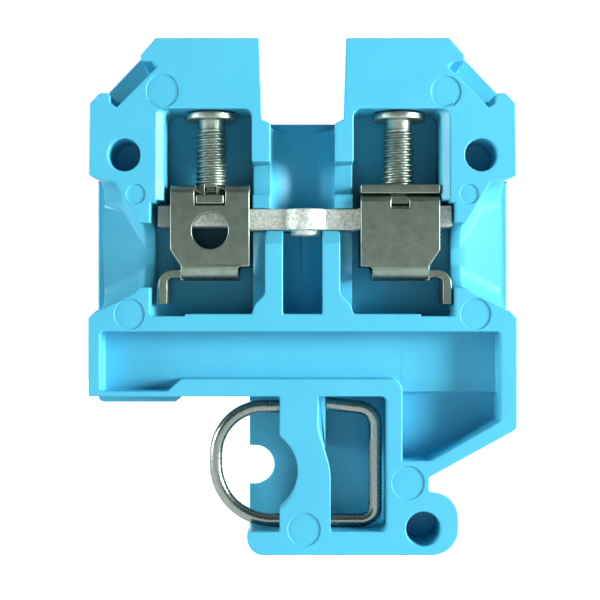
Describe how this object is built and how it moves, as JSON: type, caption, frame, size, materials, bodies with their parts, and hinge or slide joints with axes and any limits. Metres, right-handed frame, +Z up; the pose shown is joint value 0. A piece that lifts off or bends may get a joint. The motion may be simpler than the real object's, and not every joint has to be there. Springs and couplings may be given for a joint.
{
  "type": "feed-through terminal block",
  "caption": "Rail-mounted feed-through terminal block that joins a wire on each side through a common current bar with screw-driven clamping yokes.",
  "frame": {"origin": "underside of the foot, under the middle of the 40 mm width and half way through the 6.5 mm thickness", "axes": "+Z up away from the rail, +X to the right as the open side is seen, -Y out of the open side, +Y out of the closed back"},
  "size_m": [0.04, 0.0066, 0.0483],
  "materials": {
    "blue_moulding": "fine satin moulded polyamide",
    "tinned_copper": "dull mottled tin plating",
    "yoke_steel": "passivated satin steel",
    "screw_steel": "bright passivated steel",
    "spring_wire": "polished drawn wire"
  },
  "bodies": {
    "block": {"housing": "blue_moulding", "current_bar": "tinned_copper"},
    "left_screw": {"clamp_screw_left": "screw_steel"},
    "left_yoke": {"clamp_yoke_left": "yoke_steel"},
    "right_screw": {"clamp_screw_right": "screw_steel"},
    "right_yoke": {"clamp_yoke_right": "yoke_steel"},
    "foot_wire": {"foot_spring": "spring_wire"}
  },
  "joints": [
    {"name": "left_screw_turn", "type": "hinge", "parent": "block", "child": "left_screw", "pos_m": [-0.0087, -0.00035, 0.0412], "axis": [0, 0, 1], "range_deg": [-2880, 0]},
    {"name": "left_yoke_lift", "type": "slide", "parent": "block", "child": "left_yoke", "axis": [0, 0, 1], "range_m": [0, 0.004]},
    {"name": "right_screw_turn", "type": "hinge", "parent": "block", "child": "right_screw", "pos_m": [0.00915, -0.00035, 0.0412], "axis": [0, 0, 1], "range_deg": [-2880, 0]},
    {"name": "right_yoke_lift", "type": "slide", "parent": "block", "child": "right_yoke", "axis": [0, 0, 1], "range_m": [0, 0.004]},
    {"name": "foot_wire_flex", "type": "slide", "parent": "block", "child": "foot_wire", "axis": [1, 0, 0], "range_m": [0, 0.0015], "stiffness_N_per_m": 4000, "deforming": ["foot_spring"]}
  ],
  "couplings": [
    {"joint": "left_screw_turn", "follows": "left_yoke_lift", "rad_per_m": -12566},
    {"joint": "right_screw_turn", "follows": "right_yoke_lift", "rad_per_m": -12566}
  ]
}
